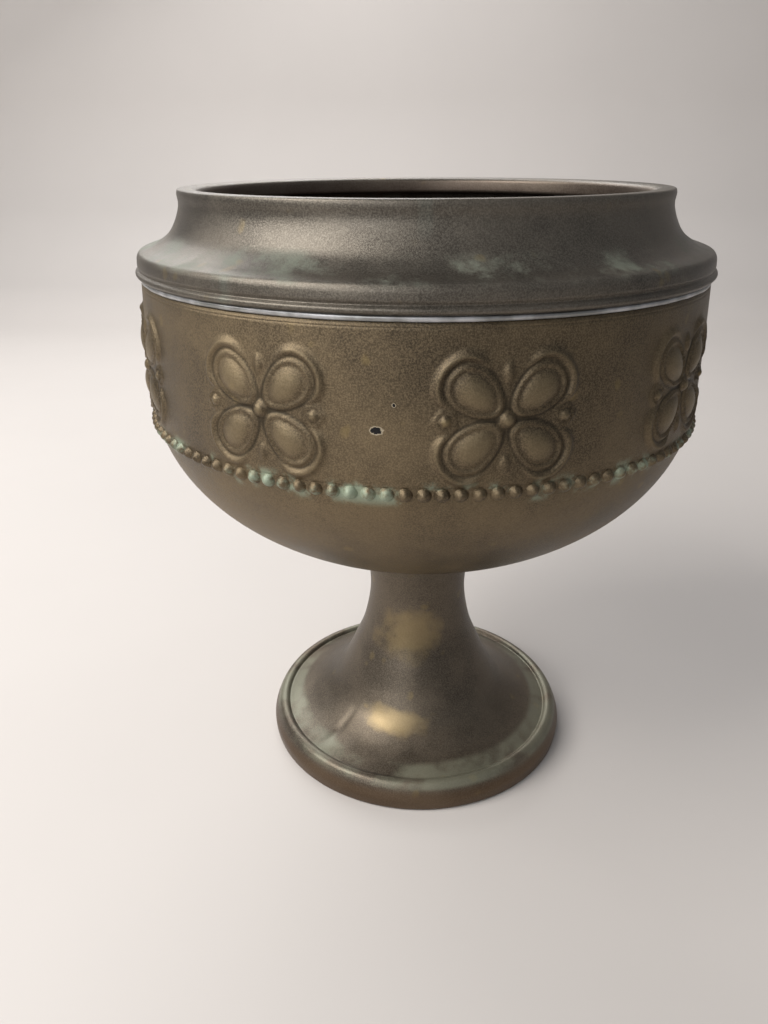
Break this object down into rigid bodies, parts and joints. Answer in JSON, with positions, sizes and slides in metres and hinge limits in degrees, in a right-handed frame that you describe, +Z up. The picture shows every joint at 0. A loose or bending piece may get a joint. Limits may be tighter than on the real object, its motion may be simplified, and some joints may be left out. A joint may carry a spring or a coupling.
{
  "type": "pedestal planter",
  "caption": "Round sheet-brass planter bowl with embossed quatrefoil flowers, a stepped collar with a rolled lip, and a waisted spun pedestal foot.",
  "frame": {"origin": "centre of the foot's contact plane, on the planter's axis", "axes": "+Z up along the planter's axis, -Y is the pictured front"},
  "size_m": [0.179, 0.179, 0.2],
  "materials": {
    "brass_bowl": "aged satin, dark olive-brown patina",
    "brass_collar": "aged satin, grey-brown patina with verdigris",
    "brass_foot": "aged satin, brown patina rubbed bright in places",
    "solder": "dull soft solder",
    "iron_wire": "drawn wire, dull",
    "steel": "plain steel, dull"
  },
  "bodies": {
    "root": {"bowl": "brass_bowl", "collar": "brass_collar", "rim_wire": "iron_wire", "collar_solder": "solder", "pedestal": "brass_foot", "foot_wire": "iron_wire", "stem_solder": "solder", "bolt_washer": "steel", "base_bolt": "steel", "clamp_disc": "steel", "clamp_nut": "steel"}
  },
  "joints": []
}
